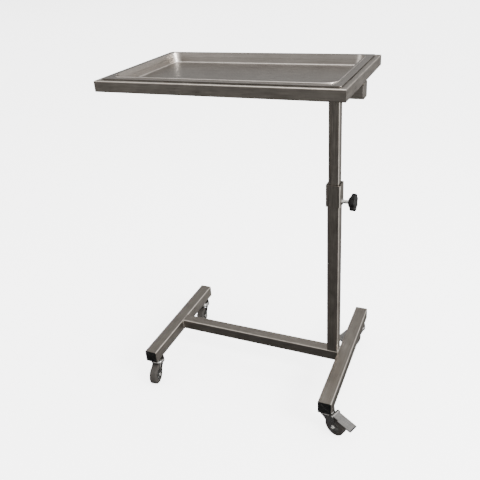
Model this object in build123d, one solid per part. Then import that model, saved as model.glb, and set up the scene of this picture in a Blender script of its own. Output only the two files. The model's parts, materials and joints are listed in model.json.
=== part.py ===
from build123d import *
import os

# Height-adjustable instrument cart: an H base on four casters, an offset telescopic post
# and a frame that carries a lift-out tray. Millimetres, floor at z = 0, +X towards the post.

# Shapes are drawn about the table's centre. This moves the bounding box's centre to x = y = 0.
CENTRING = (-25.7, 6.9)

# Square tubes
WALL = 1.5
CORNER = 3.0
RAIL = 40.0
SPINE = 35.0
LOWER_POST = 35.0
UPPER_POST = 30.0
FRAME_TUBE = 30.0
CROSSBAR = 40.0

# Base
RAIL_SPACING = 592.0
LEFT_RAIL_LENGTH = 412.0
RIGHT_RAIL_LENGTH = 486.0
RAIL_BOTTOM = 85.0
RAIL_TOP = RAIL_BOTTOM + RAIL
CAP_DEPTH = 16.0
CAP_FRAME = 3.0
CAP_FACE = 4.0
CAP_RELIEF = 1.2
CAP_BRACE = 2.4

# Telescopic post
LOWER_POST_TOP = 683.0
COLLAR = 42.0
COLLAR_BOTTOM = 628.0
COLLAR_TOP = 693.0
UPPER_POST_BOTTOM = 374.0
SLEEVE_BOTTOM = 610.0
SLEEVE_FLANGE = 3.0
SLIDE_GAP = 0.1
GLIDE_FLANGE = 8.0
GLIDE_SPIGOT = 14.0
KNOB_HEIGHT = 640.0

# Table
TABLE_LENGTH = 670.0
TABLE_DEPTH = 410.0
FRAME_TOP = 1004.0
FRAME_BOTTOM = FRAME_TOP - FRAME_TUBE
CROSSBAR_BOTTOM = FRAME_BOTTOM - CROSSBAR
CROSSBAR_WALL = 2.0
END_PLATE = 2.0

# Tray
TRAY_MARGIN = 14.0
TRAY_SHEET = 1.2
TRAY_GAP = 0.3
FLANGE_TOP = FRAME_TOP + 3.2
RIM_TOP = FRAME_TOP + 5.6
RIM_WIDTH = 5.0
SHOULDER_Z = FRAME_TOP - 8
TRAY_FLOOR = FRAME_TOP - 23
POCKET_LENGTH = 600.0
POCKET_DEPTH = 340.0
POCKET_CORNER = 30.0
WALL_SLOPE = 3.0
SHOULDER_STEP = 3.0
FLOOR_FILLET = 4.0
FOOT_OUTER = 3.0
FOOT_INNER = 7.0

# Clamp, measured along +X from the post's axis
STUD_R = 5.0
STUD_HOLE_R = 5.4
STUD_CLEARANCE = 0.1
PAD_R = 5.0
PAD_THICKNESS = 3.0
NOSE_R = 3.0
NOSE_LENGTH = 1.8
NUT_FACE = 24.0
NUT_FLATS = 15.0
KNOB_START = 40.0
KNOB_END = 61.0
KNOB_R = 25.5
KNOB_LOBES = 7
KNOB_LOBE_R = 8.0
KNOB_WAIST_R = 21.5
KNOB_HUB_R = 11.0
KNOB_HUB = 6.0
KNOB_EDGE = 2.5
INSERT_R = 6.5
INSERT_DEPTH = 9.0

# Casters, in a frame whose origin is the swivel axis and whose +X is the trail direction
CASTER_INSET = 34.0
STEM_FLATS = 17.0
STEM_HOLE_R = 5.2
STEM_FLANGE = 4.5
SWAGE_R = 8.0
WHEEL_R = 31.5
WHEEL_WIDTH = 24.0
TYRE_FILLET = 5.0
TRAIL = 30.0
HUB_R = 20.0
HUB_HALF = 11.0
HUB_RECESS_R = 16.5
HUB_RECESS = 4.0
BOSS_R = 7.0
FORK_INNER = 13.5
FORK_SHEET = 2.0
FORK_OUTER = FORK_INNER + FORK_SHEET
FORK_TOP = 63.0
CROWN_HALF = 14.5
CROWN_SHEET = 3.0
DOME_TOP = 73.0
DOME_R = 22.0
DOME_FILLET = 4.0
AXLE_R = 3.0
AXLE_EYE_R = 9.5
AXLE_FLATS = 10.0
AXLE_HEAD = 4.0
PIVOT_X = 28.0
PIVOT_Z = 70.5
PIVOT_R = 2.0
PIVOT_HEAD_R = 3.5
PIVOT_HEAD = 1.5
PEDAL_SLOPE = 14.0
PEDAL_REACH = 66.0
PEDAL_WIDTH = 30.0
PEDAL_START = 16.8
PEDAL_SHEET = 2.2
PEDAL_TOP = 0.3
LIP_START = 26.0
LIP_DEPTH = 2.3
BARREL_R = 3.6
RUNNING_GAP = 0.07

RAIL_X = {"left": -RAIL_SPACING / 2, "right": RAIL_SPACING / 2}
RAIL_LENGTH = {"left": LEFT_RAIL_LENGTH, "right": RIGHT_RAIL_LENGTH}
POST_X = RAIL_X["right"] - RAIL / 2 - LOWER_POST / 2

# Rail, which end of it, heading of the trail in degrees from +X, and whether it has a brake
CASTERS = {
    "front_left": ("left", -1, 280.0, False),
    "rear_left": ("left", 1, 280.0, False),
    "front_right": ("right", -1, 338.0, True),
    "rear_right": ("right", 1, 236.0, True),
}

os.makedirs("parts", exist_ok=True)


def save(name, shape):
    export_step(Pos(*CENTRING, 0) * shape, f"parts/{name}.step")


def square(side, radius):
    return RectangleRounded(side, side, radius)


def tube(side, length, axis, wall=WALL, radius=CORNER):
    """Hollow square tube centred on the origin along one axis."""
    plane = {"X": Plane.YZ, "Y": Plane.XZ, "Z": Plane.XY}[axis]
    profile = square(side, radius) - square(side - 2 * wall, radius - wall)
    return extrude(plane * profile, amount=length / 2, both=True)


def slab(sketch, low, high):
    """Sketch in plan, extruded from one height to another."""
    return Pos(0, 0, low) * extrude(sketch, amount=high - low)


def rod_x(radius, start, end):
    """Cylinder along +X between two stations."""
    return Pos((start + end) / 2, 0, 0) * Rot(0, 90, 0) * Cylinder(radius, end - start)


def rod_y(radius, start, end):
    """Cylinder along +Y between two stations."""
    return Pos(0, (start + end) / 2, 0) * Rot(90, 0, 0) * Cylinder(radius, end - start)


def hexagon(across_flats):
    return RegularPolygon(across_flats / 2, 6, major_radius=False)


def caster_centre(name):
    rail, end, _, _ = CASTERS[name]
    return RAIL_X[rail], end * (RAIL_LENGTH[rail] / 2 - CASTER_INSET)


def at_caster(name, shape):
    x, y = caster_centre(name)
    return Pos(x, y, 0) * Rot(0, 0, CASTERS[name][2]) * shape


# ---------------------------------------------------------------- base


def foot_rail(side):
    """Rail along Y with a stem hole under each end."""
    rail = Pos(RAIL_X[side], 0, RAIL_BOTTOM + RAIL / 2) * tube(RAIL, RAIL_LENGTH[side], "Y")
    for name, (own_side, _, _, _) in CASTERS.items():
        if own_side == side:
            x, y = caster_centre(name)
            rail -= Pos(x, y, RAIL_BOTTOM) * Cylinder(STEM_HOLE_R, 4 * WALL)
    return rail


def end_cap(side, end):
    """Push-in plastic cap, flush with the tube's end, with a framed and braced face."""
    inside = RAIL - 2 * WALL
    core = inside - 2 * CAP_FRAME
    plug = extrude(square(inside, CORNER - WALL), amount=-CAP_DEPTH)
    plug -= Pos(0, 0, -CAP_FACE) * extrude(square(core, 1), amount=-CAP_DEPTH)
    panel = extrude(square(core, 2), amount=-CAP_RELIEF)
    for angle in (-45, 45):
        panel -= extrude(Rot(0, 0, angle) * Rectangle(2 * core, CAP_BRACE), amount=-CAP_RELIEF)
    plug -= panel
    upright = Pos(RAIL_X[side], end * RAIL_LENGTH[side] / 2, RAIL_BOTTOM + RAIL / 2)
    return upright * Rot(-90 * end, 0, 0) * plug


def caster_nuts():
    """One nut inside the rail over each caster stem."""
    nuts = []
    low = RAIL_BOTTOM + WALL
    for name in CASTERS:
        x, y = caster_centre(name)
        nut = hexagon(STEM_FLATS) - Circle(STUD_R + STUD_CLEARANCE)
        nuts.append(Pos(x, y, 0) * slab(nut, low, low + 8))
    return Part() + nuts


def spine():
    length = RAIL_SPACING - RAIL
    return Pos(0, 0, RAIL_TOP - SPINE / 2) * tube(SPINE, length, "X")


def stud_hole():
    return Pos(POST_X, 0, KNOB_HEIGHT) * rod_x(STUD_HOLE_R, UPPER_POST / 2 - 3, COLLAR / 2 + 3)


def lower_post():
    length = LOWER_POST_TOP - RAIL_TOP
    post = Pos(POST_X, 0, RAIL_TOP + length / 2) * tube(LOWER_POST, length, "Z")
    return post - stud_hole()


def clamp_collar():
    """Thick square sleeve welded round the top of the lower post."""
    profile = square(COLLAR, CORNER + 1) - square(LOWER_POST, CORNER)
    collar = slab(profile, COLLAR_BOTTOM, COLLAR_TOP)
    return Pos(POST_X, 0, 0) * collar - stud_hole()


def guide_sleeve():
    """Nylon liner in the top of the lower post, with a flange over its wall."""
    bore = square(UPPER_POST + 2 * SLIDE_GAP, CORNER - 0.5 + SLIDE_GAP)
    liner = square(LOWER_POST - 2 * WALL, CORNER - WALL) - bore
    flange = square(LOWER_POST, CORNER) - bore
    sleeve = slab(liner, SLEEVE_BOTTOM, LOWER_POST_TOP)
    sleeve += slab(flange, LOWER_POST_TOP, LOWER_POST_TOP + SLEEVE_FLANGE)
    return Pos(POST_X, 0, 0) * sleeve - stud_hole()


def clamp_nut():
    """Thin nut welded to the collar's right face."""
    thickness = NUT_FACE - COLLAR / 2
    nut = extrude(Plane.YZ * (hexagon(NUT_FLATS) - Circle(STUD_R + RUNNING_GAP)), amount=thickness)
    return Pos(POST_X + COLLAR / 2, 0, KNOB_HEIGHT) * nut


# ---------------------------------------------------------------- table


def upper_post():
    length = CROSSBAR_BOTTOM - UPPER_POST_BOTTOM
    middle = UPPER_POST_BOTTOM + length / 2
    return Pos(POST_X, 0, middle) * tube(UPPER_POST, length, "Z", radius=CORNER - 0.5)


def glide_plug():
    """Plastic foot in the bottom of the upper post, guided by the lower post's bore."""
    flange = square(LOWER_POST - 2 * WALL - 2 * SLIDE_GAP, CORNER)
    plug = square(UPPER_POST - 2 * WALL, CORNER - 0.5 - WALL)
    body = slab(flange, UPPER_POST_BOTTOM - GLIDE_FLANGE, UPPER_POST_BOTTOM)
    body += slab(plug, UPPER_POST_BOTTOM, UPPER_POST_BOTTOM + GLIDE_SPIGOT)
    return Pos(POST_X, 0, 0) * body


def crossbar():
    length = TABLE_LENGTH - 2 * END_PLATE
    bar = tube(CROSSBAR, length, "X", wall=CROSSBAR_WALL)
    return Pos(0, 0, CROSSBAR_BOTTOM + CROSSBAR / 2) * bar


def crossbar_end_plates():
    plates = []
    for end in (-1, 1):
        plate = extrude(Plane.YZ * square(CROSSBAR, CORNER), amount=END_PLATE / 2, both=True)
        x = end * (TABLE_LENGTH - END_PLATE) / 2
        plates.append(Pos(x, 0, CROSSBAR_BOTTOM + CROSSBAR / 2) * plate)
    return Part() + plates


def frame_member(side):
    """One mitred tube of the tray frame."""
    half_x, half_y = TABLE_LENGTH / 2, TABLE_DEPTH / 2
    in_x, in_y = half_x - FRAME_TUBE, half_y - FRAME_TUBE
    if side in ("front", "back"):
        sign = -1 if side == "front" else 1
        bar = Pos(0, sign * (half_y - FRAME_TUBE / 2), 0) * tube(FRAME_TUBE, TABLE_LENGTH, "X")
        outline = [(-half_x, sign * half_y), (half_x, sign * half_y)]
        outline += [(in_x, sign * in_y), (-in_x, sign * in_y)]
    else:
        sign = -1 if side == "left" else 1
        bar = Pos(sign * (half_x - FRAME_TUBE / 2), 0, 0) * tube(FRAME_TUBE, TABLE_DEPTH, "Y")
        outline = [(sign * half_x, -half_y), (sign * half_x, half_y)]
        outline += [(sign * in_x, in_y), (sign * in_x, -in_y)]
    mitre = extrude(Polygon(*outline, align=None), amount=FRAME_TUBE, both=True)
    return Pos(0, 0, FRAME_TOP - FRAME_TUBE / 2) * (bar & mitre)


# ---------------------------------------------------------------- tray


def pocket(inset, grow):
    """Rounded outline of the pocket, shrunk by inset a side and thickened by grow."""
    change = grow - inset
    length, depth = POCKET_LENGTH + 2 * change, POCKET_DEPTH + 2 * change
    return RectangleRounded(length, depth, POCKET_CORNER + change)


def bowl(low, high, inset_low, inset_high, grow):
    """Tapered block between two heights."""
    return loft([Pos(0, 0, low) * pocket(inset_low, grow), Pos(0, 0, high) * pocket(inset_high, grow)])


def instrument_tray():
    """Pressed pan: stepped sloping walls, a raised rim and a square-cornered flange."""
    length, depth = TABLE_LENGTH - 2 * TRAY_MARGIN, TABLE_DEPTH - 2 * TRAY_MARGIN
    sheet = TRAY_SHEET
    lower_top = WALL_SLOPE + SHOULDER_STEP
    lower_bottom = lower_top + WALL_SLOPE
    flange = slab(RectangleRounded(length, depth, 6), FLANGE_TOP - sheet, FLANGE_TOP)
    foot = RectangleRounded(length - 2 * FOOT_OUTER, depth - 2 * FOOT_OUTER, 4)
    foot -= RectangleRounded(length - 2 * FOOT_INNER, depth - 2 * FOOT_INNER, 4)
    rim = slab(pocket(0, RIM_WIDTH), FLANGE_TOP, RIM_TOP)
    rim = fillet(rim.edges().group_by(Axis.Z)[-1], 2)
    tray = flange + rim + slab(foot, FRAME_TOP + TRAY_GAP, FLANGE_TOP - sheet)
    tray += bowl(SHOULDER_Z - sheet, FLANGE_TOP, WALL_SLOPE, 0, sheet)
    tray += bowl(TRAY_FLOOR - sheet, SHOULDER_Z, lower_bottom, lower_top, sheet)
    hollow = bowl(TRAY_FLOOR, SHOULDER_Z, lower_bottom, lower_top, 0)
    hollow = fillet(hollow.edges().group_by(Axis.Z)[0], FLOOR_FILLET)
    hollow += bowl(SHOULDER_Z, RIM_TOP, WALL_SLOPE, 0, 0)
    return tray - hollow


# ---------------------------------------------------------------- clamp


def at_clamp(shape):
    return Pos(POST_X, 0, KNOB_HEIGHT) * shape


def pressure_pad():
    """Disc between the stud's nose and the upper post."""
    start = UPPER_POST / 2 + SLIDE_GAP
    end = start + PAD_THICKNESS
    return at_clamp(rod_x(PAD_R, start, end) - rod_x(NOSE_R + RUNNING_GAP, end - NOSE_LENGTH, end))


def clamp_stud():
    shoulder = UPPER_POST / 2 + 4 * SLIDE_GAP + PAD_THICKNESS
    nose = rod_x(NOSE_R, shoulder - NOSE_LENGTH, shoulder)
    return at_clamp(nose + rod_x(STUD_R, shoulder, KNOB_START + INSERT_DEPTH))


def knob_insert():
    start, end = KNOB_START - 1, KNOB_START + INSERT_DEPTH
    return at_clamp(rod_x(INSERT_R, start, end) - rod_x(STUD_R, start, end))


def knob_grip():
    """Lobed knob that widens from a short hub, with a recess in its face."""
    thickness = KNOB_END - KNOB_START
    star = Circle(KNOB_WAIST_R)
    for lobe in range(KNOB_LOBES):
        turn = Rot(0, 0, lobe * 360 / KNOB_LOBES)
        star += turn * Pos(KNOB_R - KNOB_LOBE_R, 0) * Circle(KNOB_LOBE_R)
    head = extrude(star, amount=thickness - KNOB_HUB)
    head = chamfer(head.edges().group_by(Axis.Z)[0] + head.edges().group_by(Axis.Z)[-1], KNOB_EDGE)
    grip = Pos(0, 0, KNOB_HUB) * head
    grip += Pos(0, 0, KNOB_HUB / 2) * Cone(KNOB_HUB_R, KNOB_WAIST_R - KNOB_EDGE, KNOB_HUB)
    grip -= Pos(0, 0, thickness) * Cylinder(11, 3)
    grip = Pos(KNOB_START, 0, 0) * Rot(0, 90, 0) * grip
    return at_clamp(grip - rod_x(INSERT_R, KNOB_START, KNOB_START + INSERT_DEPTH))


# ---------------------------------------------------------------- casters


def caster_stem():
    """Threaded stem with a hexagon under the rail, the raceway and a swaged lower end."""
    crown = FORK_TOP - CROWN_SHEET
    flange = DOME_TOP + STEM_FLANGE
    stem = slab(Circle(STUD_R), crown - 1, RAIL_BOTTOM + 13)
    stem += slab(hexagon(STEM_FLATS), flange, RAIL_BOTTOM)
    stem += slab(Circle(DOME_R - 1), DOME_TOP + 0.4, flange)
    stem += slab(Circle(SWAGE_R), crown - 3.2, crown - 0.4)
    return stem


def leg_outline(braked):
    """Side view of one fork leg, from the crown down to the axle."""
    foot = [(TRAIL - 8.8, WHEEL_R - 3.8), (TRAIL + 9.2, WHEEL_R + 3)]
    outline = Polygon(*foot, (CROWN_HALF, FORK_TOP), (-CROWN_HALF, FORK_TOP), align=None)
    outline += Pos(TRAIL, WHEEL_R) * Circle(AXLE_EYE_R)
    if braked:
        ear = [(TRAIL + 6, WHEEL_R + 14), (PIVOT_X + 6, PIVOT_Z + 3), (PIVOT_X - 5, PIVOT_Z + 3)]
        outline += Polygon(*ear, (CROWN_HALF - 2, FORK_TOP - 8), align=None)
        outline -= Pos(PIVOT_X, PIVOT_Z) * Circle(PIVOT_R + 0.05)
    return outline - Pos(TRAIL, WHEEL_R) * Circle(AXLE_R + 0.05)


def caster_fork(braked):
    """Pressed fork: crown plate, domed raceway housing and two legs."""
    fork = slab(Rectangle(2 * CROWN_HALF, 2 * FORK_OUTER), FORK_TOP - CROWN_SHEET, FORK_TOP)
    dome = slab(Circle(DOME_R), FORK_TOP, DOME_TOP)
    fork += fillet(dome.edges().group_by(Axis.Z)[-1], DOME_FILLET)
    for side in (FORK_OUTER, -FORK_INNER):
        fork += Pos(0, side, 0) * extrude(Plane.XZ * leg_outline(braked), amount=FORK_SHEET)
    return fork - slab(Circle(STUD_R + RUNNING_GAP), FORK_TOP - CROWN_SHEET - 1, DOME_TOP + 1)


def caster_axle():
    """Bolt through the fork, with its head on one side and a nut on the other."""
    head = extrude(Plane.XZ * hexagon(AXLE_FLATS), amount=AXLE_HEAD)
    axle = rod_y(AXLE_R, -FORK_OUTER - AXLE_HEAD - 2, FORK_OUTER + 1)
    axle += Pos(0, FORK_OUTER + AXLE_HEAD, 0) * head + Pos(0, -FORK_OUTER, 0) * head
    return Pos(TRAIL, 0, WHEEL_R) * axle


def wheel_hub():
    """Plastic centre with a web between its boss and its rim."""
    hub = rod_y(HUB_R, -HUB_HALF, HUB_HALF)
    hub -= rod_y(HUB_RECESS_R, -HUB_HALF, HUB_RECESS - HUB_HALF)
    hub -= rod_y(HUB_RECESS_R, HUB_HALF - HUB_RECESS, HUB_HALF)
    hub += rod_y(BOSS_R, -FORK_INNER + 0.4, FORK_INNER - 0.4)
    hub -= rod_y(AXLE_R + RUNNING_GAP, -FORK_INNER, FORK_INNER)
    return Pos(TRAIL, 0, WHEEL_R) * hub


def tyre():
    ring = rod_y(WHEEL_R, -WHEEL_WIDTH / 2, WHEEL_WIDTH / 2)
    ring = fillet(ring.edges(), TYRE_FILLET)
    return Pos(TRAIL, 0, WHEEL_R) * (ring - rod_y(HUB_R, -WHEEL_WIDTH, WHEEL_WIDTH))


def brake_pin():
    pin = rod_y(PIVOT_R, -FORK_OUTER, FORK_OUTER)
    pin += rod_y(PIVOT_HEAD_R, FORK_OUTER, FORK_OUTER + PIVOT_HEAD)
    pin += rod_y(PIVOT_HEAD_R, -FORK_OUTER - PIVOT_HEAD, -FORK_OUTER)
    return Pos(PIVOT_X, 0, PIVOT_Z) * pin


def brake_pedal():
    """Foot pedal: barrel on the pin, brake shoe, stepped plate with turned-down sides."""
    width = FORK_INNER - 0.5
    middle = (PEDAL_REACH + PEDAL_START) / 2
    pedal = rod_y(BARREL_R, -width, width)
    pedal += Pos(9, 0, 1.5) * Box(18, 2 * width, 2.4)
    pedal += Pos(10.5, 0, -1.2) * Box(5, 2 * width - 4, 3)
    pedal += Pos(18, 0, 0.4) * Box(2.4, 2 * width, 4.6)
    plate = RectangleRounded(PEDAL_REACH - PEDAL_START, PEDAL_WIDTH, 2)
    pedal += Pos(middle, 0, 0) * slab(plate, PEDAL_TOP - PEDAL_SHEET, PEDAL_TOP)
    lip_end = PEDAL_REACH - 3
    for side in (-1, 1):
        y = side * (PEDAL_WIDTH / 2 - 0.9)
        lip = Box(lip_end - LIP_START, 1.8, LIP_DEPTH)
        pedal += Pos((lip_end + LIP_START) / 2, y, PEDAL_TOP - PEDAL_SHEET - LIP_DEPTH / 2) * lip
    pedal -= rod_y(PIVOT_R + RUNNING_GAP, -FORK_INNER, FORK_INNER)
    return Pos(PIVOT_X, 0, PIVOT_Z) * Rot(0, PEDAL_SLOPE, 0) * pedal


# ---------------------------------------------------------------- files

save("spine_tube", spine())
for rail_side in RAIL_X:
    save(f"{rail_side}_foot_rail", foot_rail(rail_side))
    save(f"{rail_side}_rail_front_cap", end_cap(rail_side, -1))
    save(f"{rail_side}_rail_rear_cap", end_cap(rail_side, 1))
save("caster_nuts", caster_nuts())
save("lower_post_tube", lower_post())
save("clamp_collar", clamp_collar())
save("post_guide_sleeve", guide_sleeve())
save("clamp_nut", clamp_nut())

save("upper_post_tube", upper_post())
save("glide_plug", glide_plug())
save("crossbar_tube", crossbar())
save("crossbar_end_plates", crossbar_end_plates())
for frame_side in ("front", "back", "left", "right"):
    save(f"frame_{frame_side}_tube", frame_member(frame_side))
save("instrument_tray", instrument_tray())

save("pressure_pad", pressure_pad())
save("clamp_stud", clamp_stud())
save("knob_insert", knob_insert())
save("knob_grip", knob_grip())

for caster, (_, _, _, braked_caster) in CASTERS.items():
    save(f"{caster}_stem", at_caster(caster, caster_stem()))
    save(f"{caster}_fork", at_caster(caster, caster_fork(braked_caster)))
    save(f"{caster}_axle", at_caster(caster, caster_axle()))
    save(f"{caster}_hub", at_caster(caster, wheel_hub()))
    save(f"{caster}_tyre", at_caster(caster, tyre()))
    if braked_caster:
        save(f"{caster}_brake_pin", at_caster(caster, brake_pin()))
        save(f"{caster}_brake_pedal", at_caster(caster, brake_pedal()))
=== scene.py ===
import json
from math import cos, pi, radians, sin

import bpy
from mathutils import Matrix, Vector


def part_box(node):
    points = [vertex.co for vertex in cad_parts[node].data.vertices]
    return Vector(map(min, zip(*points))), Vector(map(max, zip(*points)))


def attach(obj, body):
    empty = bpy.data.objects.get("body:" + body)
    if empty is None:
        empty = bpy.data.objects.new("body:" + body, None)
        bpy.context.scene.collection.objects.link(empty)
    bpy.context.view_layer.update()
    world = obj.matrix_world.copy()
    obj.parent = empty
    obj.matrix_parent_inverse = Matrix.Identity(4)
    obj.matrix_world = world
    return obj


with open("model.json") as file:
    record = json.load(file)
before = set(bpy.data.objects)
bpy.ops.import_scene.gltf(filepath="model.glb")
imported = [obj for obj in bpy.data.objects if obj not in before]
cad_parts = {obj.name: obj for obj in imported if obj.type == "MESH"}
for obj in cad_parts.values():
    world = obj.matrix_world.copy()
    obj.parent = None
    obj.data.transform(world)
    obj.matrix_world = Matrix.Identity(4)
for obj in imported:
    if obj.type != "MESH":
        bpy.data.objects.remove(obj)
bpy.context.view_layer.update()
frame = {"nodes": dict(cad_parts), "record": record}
NODES = frame["nodes"]
MM = 0.001

# The camera, found by matching the cart's own corners
CAMERA_PLACE = Vector((0.5975, -1.4172, 1.306))
CAMERA_YAW = radians(24.2)
CAMERA_PITCH = radians(25.6)
CAMERA_ROLL = radians(-3.8)
CAMERA_LENS = 42.7
CAMERA_SHIFT = (-0.012, -0.051)

# Sizes of the casters that no box gives. The last two are half widths from the wheel's middle.
DOME_TOP = 73 * MM
PEDAL_SLOPE = radians(14)
FORK_OUTER = 15.5 * MM
HUB_FLOOR = 7 * MM

# Pieces on a brake pedal, at distances along it from its pin
RIB_COUNT = 5
RIB_START = 32 * MM
RIB_PITCH = 6.2 * MM
RIB_RISE = 0.5 * MM
RIB_SIZE = (1.8 * MM, 23 * MM, 0.9 * MM)
TIP_REACH = 64.2 * MM
TIP_SINK = 0.8 * MM
TIP_SIZE = (3.0 * MM, 29.2 * MM, 3.0 * MM)

# Radii of the weld beads
SPINE_BEAD = 1.9 * MM
POST_FOOT_BEAD = 2.0 * MM
POST_HEAD_BEAD = 1.8 * MM
COLLAR_BEAD = 1.3 * MM
CROSSBAR_BEAD = 1.7 * MM
PLATE_BEAD = 0.9 * MM
MITRE_BEAD = 0.5 * MM

FRAME_TUBE = 30 * MM

# Thread on the clamp stud
THREAD_PITCH = 1.5 * MM
THREAD_RADIUS = 4.85 * MM
THREAD_RIDGE = 0.42 * MM
THREAD_START = 3.2 * MM
THREAD_SPARE = 5.2 * MM

WHITE = (1.0, 1.0, 1.0, 1.0)
UP = Vector((0, 0, 1))

CASTERS = ("front_left", "rear_left", "front_right", "rear_right")
BRAKED = ("front_right", "rear_right")


# ---------------------------------------------------------------- shader helpers


class Graph:
    """A material's node tree, with short calls for the nodes used here."""

    def __init__(self, name):
        self.material = bpy.data.materials.new(name)
        self.material.use_nodes = True
        self.tree = self.material.node_tree
        self.shader = self.tree.nodes["Principled BSDF"]
        self.place = self.add("ShaderNodeTexCoord").outputs["Object"]

    def add(self, kind):
        return self.tree.nodes.new(kind)

    def link(self, source, target):
        self.tree.links.new(source, target)

    def noise(self, scale, stretch=(1, 1, 1), detail=4.0, rough=0.55):
        """Noise in the part's own space, drawn out along an axis with a small stretch value."""
        mapping = self.add("ShaderNodeMapping")
        mapping.inputs["Scale"].default_value = stretch
        self.link(self.place, mapping.inputs["Vector"])
        noise = self.add("ShaderNodeTexNoise")
        noise.inputs["Scale"].default_value = scale
        noise.inputs["Detail"].default_value = detail
        noise.inputs["Roughness"].default_value = rough
        self.link(mapping.outputs["Vector"], noise.inputs["Vector"])
        return noise.outputs["Fac"]

    def remap(self, value, low, high, start=0.3, end=0.7):
        """Maps start..end to low..high. The defaults suit noise, which seldom leaves 0.3..0.7."""
        node = self.add("ShaderNodeMapRange")
        node.inputs["From Min"].default_value = start
        node.inputs["From Max"].default_value = end
        node.inputs["To Min"].default_value = low
        node.inputs["To Max"].default_value = high
        self.link(value, node.inputs["Value"])
        return node.outputs["Result"]

    def math(self, operation, first, second):
        """Math node. Each value is a link or a number."""
        node = self.add("ShaderNodeMath")
        node.operation = operation
        for socket, value in zip(node.inputs, (first, second)):
            if isinstance(value, (int, float)):
                socket.default_value = value
            else:
                self.link(value, socket)
        return node.outputs["Value"]

    def colour(self, socket, value):
        """Feeds a colour socket from a link or an RGB triple."""
        if isinstance(value, (tuple, list)):
            socket.default_value = (*value, 1.0)
        else:
            self.link(value, socket)

    def bump(self, height, strength, distance=0.0004):
        node = self.add("ShaderNodeBump")
        node.inputs["Strength"].default_value = strength
        node.inputs["Distance"].default_value = distance
        self.link(height, node.inputs["Height"])
        self.link(node.outputs["Normal"], self.shader.inputs["Normal"])

    def corners(self):
        """0 on faces square to the part's axes, rising to 1 on rounded corners and slopes."""
        split = self.add("ShaderNodeSeparateXYZ")
        self.link(self.add("ShaderNodeTexCoord").outputs["Normal"], split.inputs["Vector"])
        powers = [self.math("POWER", self.math("ABSOLUTE", out, 0), 4) for out in split.outputs]
        total = self.math("ADD", self.math("ADD", powers[0], powers[1]), powers[2])
        return self.remap(total, 1.0, 0.0, 0.55, 0.97)

    def edges(self, radius):
        """Near 1 along sharp and rounded edges, 0 on flat faces."""
        bevel = self.add("ShaderNodeBevel")
        bevel.samples = 6
        bevel.inputs["Radius"].default_value = radius
        dot = self.add("ShaderNodeVectorMath")
        dot.operation = "DOT_PRODUCT"
        self.link(bevel.outputs["Normal"], dot.inputs[0])
        self.link(self.add("ShaderNodeNewGeometry").outputs["True Normal"], dot.inputs[1])
        return self.remap(dot.outputs["Value"], 1.0, 0.0, 0.90, 0.995)


def mix_colours(graph, factor, first, second):
    """Colour mix. Each colour is a link or an RGB triple."""
    node = graph.add("ShaderNodeMix")
    node.data_type = "RGBA"
    colours = [socket for socket in node.inputs if socket.type == "RGBA"]
    graph.link(factor, node.inputs[0])
    graph.colour(colours[0], first)
    graph.colour(colours[1], second)
    return next(socket for socket in node.outputs if socket.type == "RGBA")


# ---------------------------------------------------------------- materials


def brushed_steel(name, grain_axis, dark, light, rough, streak=260.0, edge_wear_and_sheen=0.7):
    """Satin steel: long fine streaks along one axis, soft handling marks, and edges, rounded corners and
    slopes painted brighter, partly as wear and partly as painted highlight.
    """
    graph = Graph(name)
    stretch = tuple(0.02 if axis == grain_axis else 1.0 for axis in "XYZ")
    fine = graph.noise(streak * 4, stretch, detail=3)
    broad = graph.noise(streak, stretch, detail=2)
    cloud = graph.noise(9.0, detail=3)
    smudge = graph.noise(38.0, detail=5, rough=0.65)
    tone = graph.math("ADD", graph.remap(fine, 0.0, 0.45), graph.remap(broad, 0.0, 0.3))
    tone = graph.math("ADD", tone, graph.remap(cloud, 0.0, 0.25))
    colour = mix_colours(graph, tone, dark, light)
    # Painted highlight mixed with wear: rounded corners and sloped faces get a brighter colour, so
    # sloped walls read lighter than flat floors and rounded corners shine.
    rub_and_sheen_amount = graph.remap(smudge, edge_wear_and_sheen * 0.6, edge_wear_and_sheen, 0.35, 0.65)
    edge_lightening = graph.math("MULTIPLY", graph.corners(), rub_and_sheen_amount)
    bright = tuple(min(1.0, channel * 2.3) for channel in light)
    graph.link(mix_colours(graph, edge_lightening, colour, bright), graph.shader.inputs["Base Color"])
    grain_blur = graph.remap(fine, rough - 0.07, rough + 0.07)
    blur = graph.math("ADD", grain_blur, graph.remap(smudge, -0.03, 0.06))
    graph.link(blur, graph.shader.inputs["Roughness"])
    graph.shader.inputs["Metallic"].default_value = 1.0
    graph.bump(fine, 0.10, 0.0001)
    return graph.material


def plated_steel(name, colour, rough):
    """Bright plating with faint waviness and fine speckled wear."""
    graph = Graph(name)
    wave = graph.noise(60.0, detail=2)
    speck = graph.noise(900.0, detail=3)
    shade = tuple(channel * 0.72 for channel in colour)
    tone = graph.math("ADD", graph.remap(wave, 0.0, 0.5), graph.remap(speck, 0.0, 0.5))
    graph.link(mix_colours(graph, tone, shade, colour), graph.shader.inputs["Base Color"])
    graph.link(graph.remap(speck, rough, rough + 0.12), graph.shader.inputs["Roughness"])
    graph.shader.inputs["Metallic"].default_value = 1.0
    graph.bump(wave, 0.12, 0.0003)
    return graph.material


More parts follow.
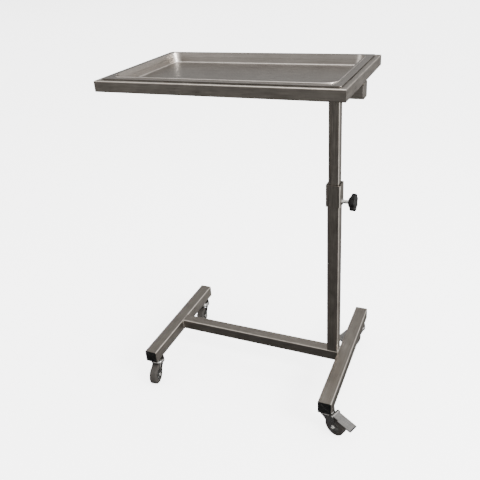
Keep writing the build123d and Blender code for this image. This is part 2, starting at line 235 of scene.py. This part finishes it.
def moulded(name, colour, rough, grain=1400.0, strength=0.25, scuff=0.6):
    """Moulded plastic or rubber: pebbled grain, dull scuffs on the edges and uneven gloss."""
    graph = Graph(name)
    pebble = graph.noise(grain, detail=2)
    dust = graph.noise(55.0, detail=5, rough=0.7)
    pale = tuple(channel * 1.8 + 0.006 for channel in colour)
    scuffed = tuple(channel * 3.0 + 0.03 for channel in colour)
    body = mix_colours(graph, graph.remap(dust, 0.0, 0.8), colour, pale)
    edge_lightening = graph.math("MULTIPLY", graph.edges(0.0015), graph.remap(dust, 0.0, scuff, 0.4, 0.65))
    graph.link(mix_colours(graph, edge_lightening, body, scuffed), graph.shader.inputs["Base Color"])
    dust_blur = graph.remap(dust, rough - 0.08, rough + 0.1)
    blur = graph.math("ADD", dust_blur, graph.remap(pebble, -0.04, 0.04))
    graph.link(blur, graph.shader.inputs["Roughness"])
    graph.shader.inputs["Specular IOR Level"].default_value = 0.15
    graph.bump(pebble, strength, 0.0002)
    return graph.material


DARK_STEEL = (0.185, 0.165, 0.145)
LIGHT_STEEL = (0.31, 0.285, 0.255)
TUBES = {
    axis: brushed_steel(f"stainless_tube_{axis.lower()}", axis, DARK_STEEL, LIGHT_STEEL, 0.34)
    for axis in "XYZ"
}
DARK_SHEET = (0.165, 0.150, 0.135)
LIGHT_SHEET = (0.27, 0.250, 0.230)
SHEET = brushed_steel("stainless_sheet", "X", DARK_SHEET, LIGHT_SHEET, 0.33, streak=200.0)
DARK_PEDAL = (0.11, 0.106, 0.102)
LIGHT_PEDAL = (0.19, 0.185, 0.178)
PEDAL_STEEL = brushed_steel("pedal_steel", "X", DARK_PEDAL, LIGHT_PEDAL, 0.36)
WELD = plated_steel("weld_steel", (0.52, 0.49, 0.45), 0.22)
CHROME = plated_steel("chrome_plate", (0.42, 0.41, 0.40), 0.16)
ZINC = plated_steel("zinc_plated_steel", (0.75, 0.75, 0.73), 0.16)
BLACK = moulded("black_plastic", (0.004, 0.004, 0.004), 0.42)
NYLON = moulded("nylon", (0.006, 0.006, 0.006), 0.5)
GREY_PLASTIC = moulded("grey_plastic", (0.035, 0.034, 0.033), 0.45)
TREAD = moulded("grey_tread", (0.034, 0.031, 0.028), 0.62, grain=900.0, strength=0.4)

SLOT_MATERIALS = {
    "stainless_sheet": SHEET,
    "pedal_steel": PEDAL_STEEL,
    "chrome_plate": CHROME,
    "zinc_plated_steel": ZINC,
    "black_plastic": BLACK,
    "nylon": NYLON,
    "grey_plastic": GREY_PLASTIC,
    "grey_tread": TREAD,
}


def long_axis(name):
    """Letter of the axis along which a CAD node is longest."""
    low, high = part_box(name)
    size = high - low
    return "XYZ"[max(range(3), key=lambda i: size[i])]


def dress_cad():
    """Gives each CAD node its slot's material, with tubes brushed along their length."""
    slots = {part["node"]: part["material_slot"] for part in frame["record"]["subparts"]}
    for name, node in NODES.items():
        if slots[name] == "stainless_tube":
            material = TUBES[long_axis(name)]
        else:
            material = SLOT_MATERIALS[slots[name]]
        node.data.materials.clear()
        node.data.materials.append(material)


# ---------------------------------------------------------------- pieces


def piece(name, mesh_or_curve, material, body):
    """Puts a new piece in the scene, riding on a CAD body."""
    thing = bpy.data.objects.new(name, mesh_or_curve)
    bpy.context.scene.collection.objects.link(thing)
    mesh_or_curve.materials.append(material)
    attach(thing, body)
    return thing


def mesh_from(name, points, faces, smooth=True):
    """Mesh of a list of points and a list of faces."""
    mesh = bpy.data.meshes.new(name)
    mesh.from_pydata(points, [], faces)
    mesh.update()
    if smooth:
        mesh.polygons.foreach_set("use_smooth", [True] * len(mesh.polygons))
    return mesh


def rounded(name, centres, radii, along, sides):
    """Solid of circles square to one direction, closed at both ends."""
    points, faces = [], []
    across = along.orthogonal().normalized()
    other = along.cross(across)
    for centre, radius in zip(centres, radii):
        for side in range(sides):
            angle = 2 * pi * side / sides
            points.append(centre + radius * (cos(angle) * across + sin(angle) * other))
    for ring in range(len(centres) - 1):
        for side in range(sides):
            a, b = ring * sides + side, ring * sides + (side + 1) % sides
            faces.append((a, b, b + sides, a + sides))
    faces.append(tuple(reversed(range(sides))))
    faces.append(tuple(range(len(points) - sides, len(points))))
    return mesh_from(name, points, faces)


def weld_bead(name, start, end, radius, body):
    """Rippled fillet of weld metal along a straight joint."""
    start, end = Vector(start), Vector(end)
    rings_per_ripple = 4
    ripple = 1.5 * radius
    steps = max(8, int((end - start).length / ripple) * rings_per_ripple)
    centres, radii = [], []
    for step in range(steps + 1):
        share = step / steps
        taper = min(1.0, 6 * share + 0.25, 6 * (1 - share) + 0.25)
        wave = 0.86 + 0.14 * abs(sin(pi * share * steps / rings_per_ripple))
        centres.append(start.lerp(end, share))
        radii.append(radius * taper * wave)
    bead = rounded(name, centres, radii, (end - start).normalized(), sides=12)
    return piece(name, bead, WELD, body)


def bead_ring(name, low, high, height, radius, body, sides="LRFB"):
    """Beads round a square tube at one height. low and high are the tube's corners."""
    runs = {
        "L": ((low.x, low.y), (low.x, high.y)),
        "R": ((high.x, low.y), (high.x, high.y)),
        "F": ((low.x, low.y), (high.x, low.y)),
        "B": ((low.x, high.y), (high.x, high.y)),
    }
    inset = 2.5 * MM
    for side in sides:
        (ax, ay), (bx, by) = runs[side]
        along = (Vector((bx, by, 0)) - Vector((ax, ay, 0))).normalized() * inset
        start = Vector((ax, ay, height)) + along
        end = Vector((bx, by, height)) - along
        weld_bead(f"{name}_{side}", start, end, radius, body)


def add_welds():
    """Beads at every welded joint of the base and the table."""
    spine_low, spine_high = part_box("spine_tube")
    for side, x in (("left", spine_low.x), ("right", spine_high.x)):
        for face, y in (("front", spine_low.y), ("rear", spine_high.y)):
            start = (x, y, spine_low.z + 2 * MM)
            end = (x, y, spine_high.z - 1.5 * MM)
            weld_bead(f"weld_spine_{side}_{face}", start, end, SPINE_BEAD, "base")
        start = (x, spine_low.y + 3 * MM, spine_low.z)
        end = (x, spine_high.y - 3 * MM, spine_low.z)
        weld_bead(f"weld_spine_{side}_under", start, end, SPINE_BEAD, "base")
    post_low, post_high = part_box("lower_post_tube")
    bead_ring("weld_post_foot", post_low, post_high, post_low.z, POST_FOOT_BEAD, "base", "LR")
    collar_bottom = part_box("clamp_collar")[0].z
    bead_ring("weld_collar", post_low, post_high, collar_bottom, COLLAR_BEAD, "base")
    upper_low, upper_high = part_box("upper_post_tube")
    bead_ring("weld_post_head", upper_low, upper_high, upper_high.z, POST_HEAD_BEAD, "table")
    bar_low, bar_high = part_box("crossbar_tube")
    for side in ("left", "right"):
        member_low, member_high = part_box(f"frame_{side}_tube")
        for face, y in (("front", bar_low.y), ("rear", bar_high.y)):
            start = (member_low.x + 3 * MM, y, bar_high.z)
            end = (member_high.x - 4 * MM, y, bar_high.z)
            weld_bead(f"weld_crossbar_{side}_{face}", start, end, CROSSBAR_BEAD, "table")
    inset, sink = 3 * MM, 0.4 * MM
    for side, x in (("left", bar_low.x), ("right", bar_high.x)):
        for face, y in (("front", bar_low.y + sink), ("rear", bar_high.y - sink)):
            start = (x, y, bar_low.z + inset)
            end = (x, y, bar_high.z - inset)
            weld_bead(f"weld_plate_{side}_{face}", start, end, PLATE_BEAD, "table")
        start = (x, bar_low.y + inset, bar_low.z + sink)
        end = (x, bar_high.y - inset, bar_low.z + sink)
        weld_bead(f"weld_plate_{side}_under", start, end, PLATE_BEAD, "table")


def add_mitre_seams():
    """Thin dressed weld across each corner of the tray frame's top face."""
    low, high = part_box("frame_front_tube")[0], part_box("frame_back_tube")[1]
    top = high.z - 0.28 * MM
    near = 2 * MM
    far = FRAME_TUBE - near
    for side, x, step_x in (("left", low.x, 1), ("right", high.x, -1)):
        for face, y, step_y in (("front", low.y, 1), ("back", high.y, -1)):
            start = (x + step_x * near, y + step_y * near, top)
            end = (x + step_x * far, y + step_y * far, top)
            weld_bead(f"mitre_seam_{side}_{face}", start, end, MITRE_BEAD, "table")


def helix(name, centre, axis, radius, pitch, length, thickness, material, body):
    """Thread ridge wound round a rod."""
    turns = length / pitch
    steps_per_turn = 20
    steps = int(turns * steps_per_turn)
    curve = bpy.data.curves.new(name, "CURVE")
    curve.dimensions = "3D"
    curve.bevel_depth = thickness
    curve.bevel_resolution = 2
    spline = curve.splines.new("POLY")
    spline.points.add(steps)
    across = axis.orthogonal().normalized()
    other = axis.cross(across)
    for index, point in enumerate(spline.points):
        angle = 2 * pi * turns * index / steps
        place = centre + axis * (length * index / steps)
        place += radius * (cos(angle) * across + sin(angle) * other)
        point.co = (*place, 1.0)
    return piece(name, curve, material, body)


def lathe(name, profile, centre, axis, material, body, sides=48):
    """Turned piece. The profile lists (station along the axis, radius) from one end to the other."""
    axis = axis.normalized()
    centres = [centre + axis * station for station, _ in profile]
    radii = [radius for _, radius in profile]
    return piece(name, rounded(name, centres, radii, axis, sides), material, body)


def soften(thing, width, angle=35):
    """Adds a bevel to the edges sharper than an angle in degrees."""
    bevel = thing.modifiers.new("soft_edges", "BEVEL")
    bevel.width = width
    bevel.segments = 2
    bevel.limit_method = "ANGLE"
    bevel.angle_limit = radians(angle)
    bevel.harden_normals = False


def block(name, size, matrix, material, body, bevel):
    """Box with softened edges, placed by a matrix."""
    corners = [Vector((x, y, z)) for x in (-0.5, 0.5) for y in (-0.5, 0.5) for z in (-0.5, 0.5)]
    points = [matrix @ Vector((c.x * size[0], c.y * size[1], c.z * size[2])) for c in corners]
    faces = [(0, 1, 3, 2), (4, 6, 7, 5), (0, 4, 5, 1), (2, 3, 7, 6), (0, 2, 6, 4), (1, 5, 7, 3)]
    thing = piece(name, mesh_from(name, points, faces, smooth=False), material, body)
    soften(thing, bevel)
    return thing


def add_clamp_details():
    """Thread on the clamp stud and the cap in the knob's face."""
    knob_low, knob_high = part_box("knob_grip")
    nut_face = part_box("clamp_nut")[1].x
    stud_low, stud_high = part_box("clamp_stud")
    middle = (stud_low + stud_high) / 2
    out = Vector((1, 0, 0))
    start = Vector((nut_face + THREAD_START, middle.y, middle.z))
    length = knob_low.x - nut_face - THREAD_SPARE
    helix(
        "stud_thread", start, out, THREAD_RADIUS, THREAD_PITCH, length, THREAD_RIDGE, ZINC, "clamp_knob"
    )
    face = Vector((knob_high.x - 1.5 * MM, middle.y, middle.z))
    cap = [(0, 10.6 * MM), (0.9 * MM, 10.6 * MM), (1.3 * MM, 10.0 * MM), (1.3 * MM, 7.5 * MM)]
    cap += [(0.8 * MM, 6.8 * MM), (0.8 * MM, 3.0 * MM), (1.0 * MM, 0.4 * MM)]
    lathe("knob_face_cap", cap, face, out, BLACK, "clamp_knob")


def caster_axes(name):
    """A caster's stem centre, wheel centre, direction of trail and direction of axle."""
    stem_low, stem_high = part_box(f"{name}_stem")
    wheel_low, wheel_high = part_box(f"{name}_hub")
    pivot = (stem_low + stem_high) / 2
    wheel = (wheel_low + wheel_high) / 2
    trail = Vector((wheel.x - pivot.x, wheel.y - pivot.y, 0)).normalized()
    return pivot, wheel, trail, Vector((-trail.y, trail.x, 0))


def add_caster_details(name):
    """Dust ring at the swivel, axle washers and wheel covers."""
    pivot, wheel, _, axle = caster_axes(name)
    swivel = f"{name}_swivel"
    rolling = f"{name}_wheel"
    ring = [(-2.2 * MM, 20.2 * MM), (-0.2 * MM, 20.2 * MM), (0.15 * MM, 19.6 * MM), (0.15 * MM, 14 * MM)]
    washer = [(0, 6.6 * MM), (0.8 * MM, 6.6 * MM), (1.1 * MM, 6.2 * MM), (1.1 * MM, 3.4 * MM)]
    cover = [(0, 16.2 * MM), (1.8 * MM, 16.0 * MM), (2.8 * MM, 14.2 * MM), (1.4 * MM, 11.4 * MM)]
    cover.append((1.4 * MM, 7.1 * MM))
    place = Vector((pivot.x, pivot.y, DOME_TOP))
    lathe(f"{name}_dust_ring", ring, place, UP, BLACK, swivel)
    for side, word in ((-1, "right"), (1, "left")):
        out = axle * side
        place = wheel + out * (FORK_OUTER - 0.1 * MM)
        lathe(f"{name}_washer_{word}", washer, place, out, ZINC, swivel)
        place = wheel + out * (HUB_FLOOR + 0.2 * MM)
        lathe(f"{name}_cover_{word}", cover, place, out, ZINC, rolling)


def add_pedal_details(name):
    """Grip ribs across the pedal and a dark strip along its tip."""
    _, _, trail, axle = caster_axes(name)
    pin_low, pin_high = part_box(f"{name}_brake_pin")
    pin = (pin_low + pin_high) / 2
    along = (trail * cos(PEDAL_SLOPE) - UP * sin(PEDAL_SLOPE)).normalized()
    normal = along.cross(axle).normalized()
    if normal.z < 0:
        normal = -normal
    turn = Matrix((along, axle, normal)).transposed().to_4x4()

    def on_pedal(distance, rise):
        return Matrix.Translation(pin + along * distance + normal * rise) @ turn

    body = f"{name}_brake"
    for rib in range(RIB_COUNT):
        place = on_pedal(RIB_START + RIB_PITCH * rib, RIB_RISE)
        rib_name = f"{name}_pedal_rib_{rib}"
        block(rib_name, RIB_SIZE, place, PEDAL_STEEL, body, 0.3 * MM)
    tip = on_pedal(TIP_REACH, -TIP_SINK)
    block(f"{name}_pedal_tip", TIP_SIZE, tip, BLACK, body, 0.6 * MM)


def bevel_sharp_nodes():
    """Hairline bevels so that flat-cut sheet and tube ends catch the light."""
    names = ["clamp_collar", "instrument_tray", "crossbar_end_plates"]
    names += [f"{name}_fork" for name in CASTERS] + [f"{name}_brake_pedal" for name in BRAKED]
    for name in names:
        soften(NODES[name], 0.35 * MM, 50)


# ---------------------------------------------------------------- stage, light and camera


def add_stage():
    """Pale floor running up into a pale round wall, seen by the camera alone."""
    graph = Graph("stage_paper")
    speck = graph.noise(400.0, detail=2)
    paper = mix_colours(graph, graph.remap(speck, 0.0, 1.0), (0.86, 0.86, 0.86), (0.90, 0.90, 0.90))
    graph.link(paper, graph.shader.inputs["Base Color"])
    graph.shader.inputs["Roughness"].default_value = 0.9
    graph.shader.inputs["Specular IOR Level"].default_value = 0.1
    graph.shader.inputs["Emission Color"].default_value = WHITE
    graph.shader.inputs["Emission Strength"].default_value = 4.0
    floor_r, cove_r, wall_top = 30.0, 12.0, 40.0
    sides, cove_steps = 96, 8
    profile = [(0.0, 0.0), (floor_r, 0.0)]
    for step in range(1, cove_steps + 1):
        angle = pi / 2 * step / cove_steps
        profile.append((floor_r + cove_r * sin(angle), cove_r * (1 - cos(angle))))
    profile.append((floor_r + cove_r, wall_top))
    points, faces = [Vector((0, 0, 0))], []
    for radius, height in profile[1:]:
        for side in range(sides):
            angle = 2 * pi * side / sides
            points.append(Vector((radius * cos(angle), radius * sin(angle), height)))
    for side in range(sides):
        faces.append((0, 1 + side, 1 + (side + 1) % sides))
    for ring in range(len(profile) - 2):
        for side in range(sides):
            a, b = 1 + ring * sides + side, 1 + ring * sides + (side + 1) % sides
            faces.append((a, b, b + sides, a + sides))
    stage = bpy.data.objects.new("stage", mesh_from("stage", points, faces))
    stage.data.materials.append(graph.material)
    bpy.context.scene.collection.objects.link(stage)
    stage.visible_glossy = False
    stage.visible_shadow = False
    stage.visible_diffuse = False


def add_world():
    """Surroundings brightest in front of the cart and on its right, and dark below."""
    world = bpy.data.worlds.new("studio")
    bpy.context.scene.world = world
    world.use_nodes = True
    tree = world.node_tree
    background = tree.nodes["Background"]
    place = tree.nodes.new("ShaderNodeTexCoord")
    split = tree.nodes.new("ShaderNodeSeparateXYZ")
    tree.links.new(place.outputs["Generated"], split.inputs["Vector"])

    def ramp(axis, start, end, low, high):
        """Smooth step from low to high, between two shares of the direction along an axis."""
        node = tree.nodes.new("ShaderNodeMapRange")
        node.interpolation_type = "SMOOTHSTEP"
        node.inputs["From Min"].default_value = start
        node.inputs["From Max"].default_value = end
        node.inputs["To Min"].default_value = low
        node.inputs["To Max"].default_value = high
        tree.links.new(split.outputs[axis], node.inputs["Value"])
        return node.outputs["Result"]

    def combine(operation, first, second):
        node = tree.nodes.new("ShaderNodeMath")
        node.operation = operation
        tree.links.new(first, node.inputs[0])
        tree.links.new(second, node.inputs[1])
        return node.outputs["Value"]

    front_to_back = ramp("Y", -0.6, 0.8, 1.2, 0.52)
    above = ramp("Z", -0.3, 0.3, 0.10, 1.0)
    right = combine("MULTIPLY", ramp("X", 0.2, 0.7, 0.0, 1.6), ramp("Z", -0.62, -0.45, 0.04, 1.0))
    glow = combine("ADD", combine("MULTIPLY", front_to_back, above), right)
    tree.links.new(glow, background.inputs["Strength"])
    background.inputs["Color"].default_value = (1.0, 0.99, 0.975, 1.0)


def area_light(name, place, target, size, power):
    """Rectangular lamp at a place, turned to a target."""
    light = bpy.data.lights.new(name, "AREA")
    light.shape = "RECTANGLE"
    light.size, light.size_y = size
    light.energy = power
    lamp = bpy.data.objects.new(name, light)
    lamp.location = place
    lamp.rotation_euler = (Vector(target) - Vector(place)).to_track_quat("-Z", "Y").to_euler()
    bpy.context.scene.collection.objects.link(lamp)


def add_lights():
    """Large soft lamp overhead, a smaller one on the right and a weak fill on the left."""
    area_light("overhead", (0.2, 0.4, 3.4), (0, 0, 0), (3.2, 3.2), 90)
    area_light("right_softbox", (2.3, -0.9, 1.95), (-0.1, 0, 0.9), (0.7, 0.9), 90)
    area_light("left_fill", (-2.6, -1.6, 1.8), (0, 0, 0.4), (1.6, 1.6), 18)


def add_camera():
    """Camera at the photograph's viewing angle."""
    level = cos(CAMERA_PITCH)
    back = Vector((sin(CAMERA_YAW) * level, -cos(CAMERA_YAW) * level, sin(CAMERA_PITCH)))
    right = (-back).cross(UP).normalized()
    up = back.cross(right)
    rolled_right = cos(CAMERA_ROLL) * right + sin(CAMERA_ROLL) * up
    rolled_up = cos(CAMERA_ROLL) * up - sin(CAMERA_ROLL) * right
    data = bpy.data.cameras.new("camera")
    data.lens = CAMERA_LENS
    data.shift_x, data.shift_y = CAMERA_SHIFT
    camera = bpy.data.objects.new("camera", data)
    turn = Matrix((rolled_right, rolled_up, back)).transposed().to_4x4()
    camera.matrix_world = Matrix.Translation(CAMERA_PLACE) @ turn
    bpy.context.scene.collection.objects.link(camera)
    bpy.context.scene.camera = camera


dress_cad()
bevel_sharp_nodes()
add_welds()
add_mitre_seams()
add_clamp_details()
for caster in CASTERS:
    add_caster_details(caster)
for caster in BRAKED:
    add_pedal_details(caster)
add_stage()
add_world()
add_lights()
add_camera()


def corners(bounds):
    """Both corners of a box as plain lists."""
    return [[float(value) for value in corner] for corner in bounds]
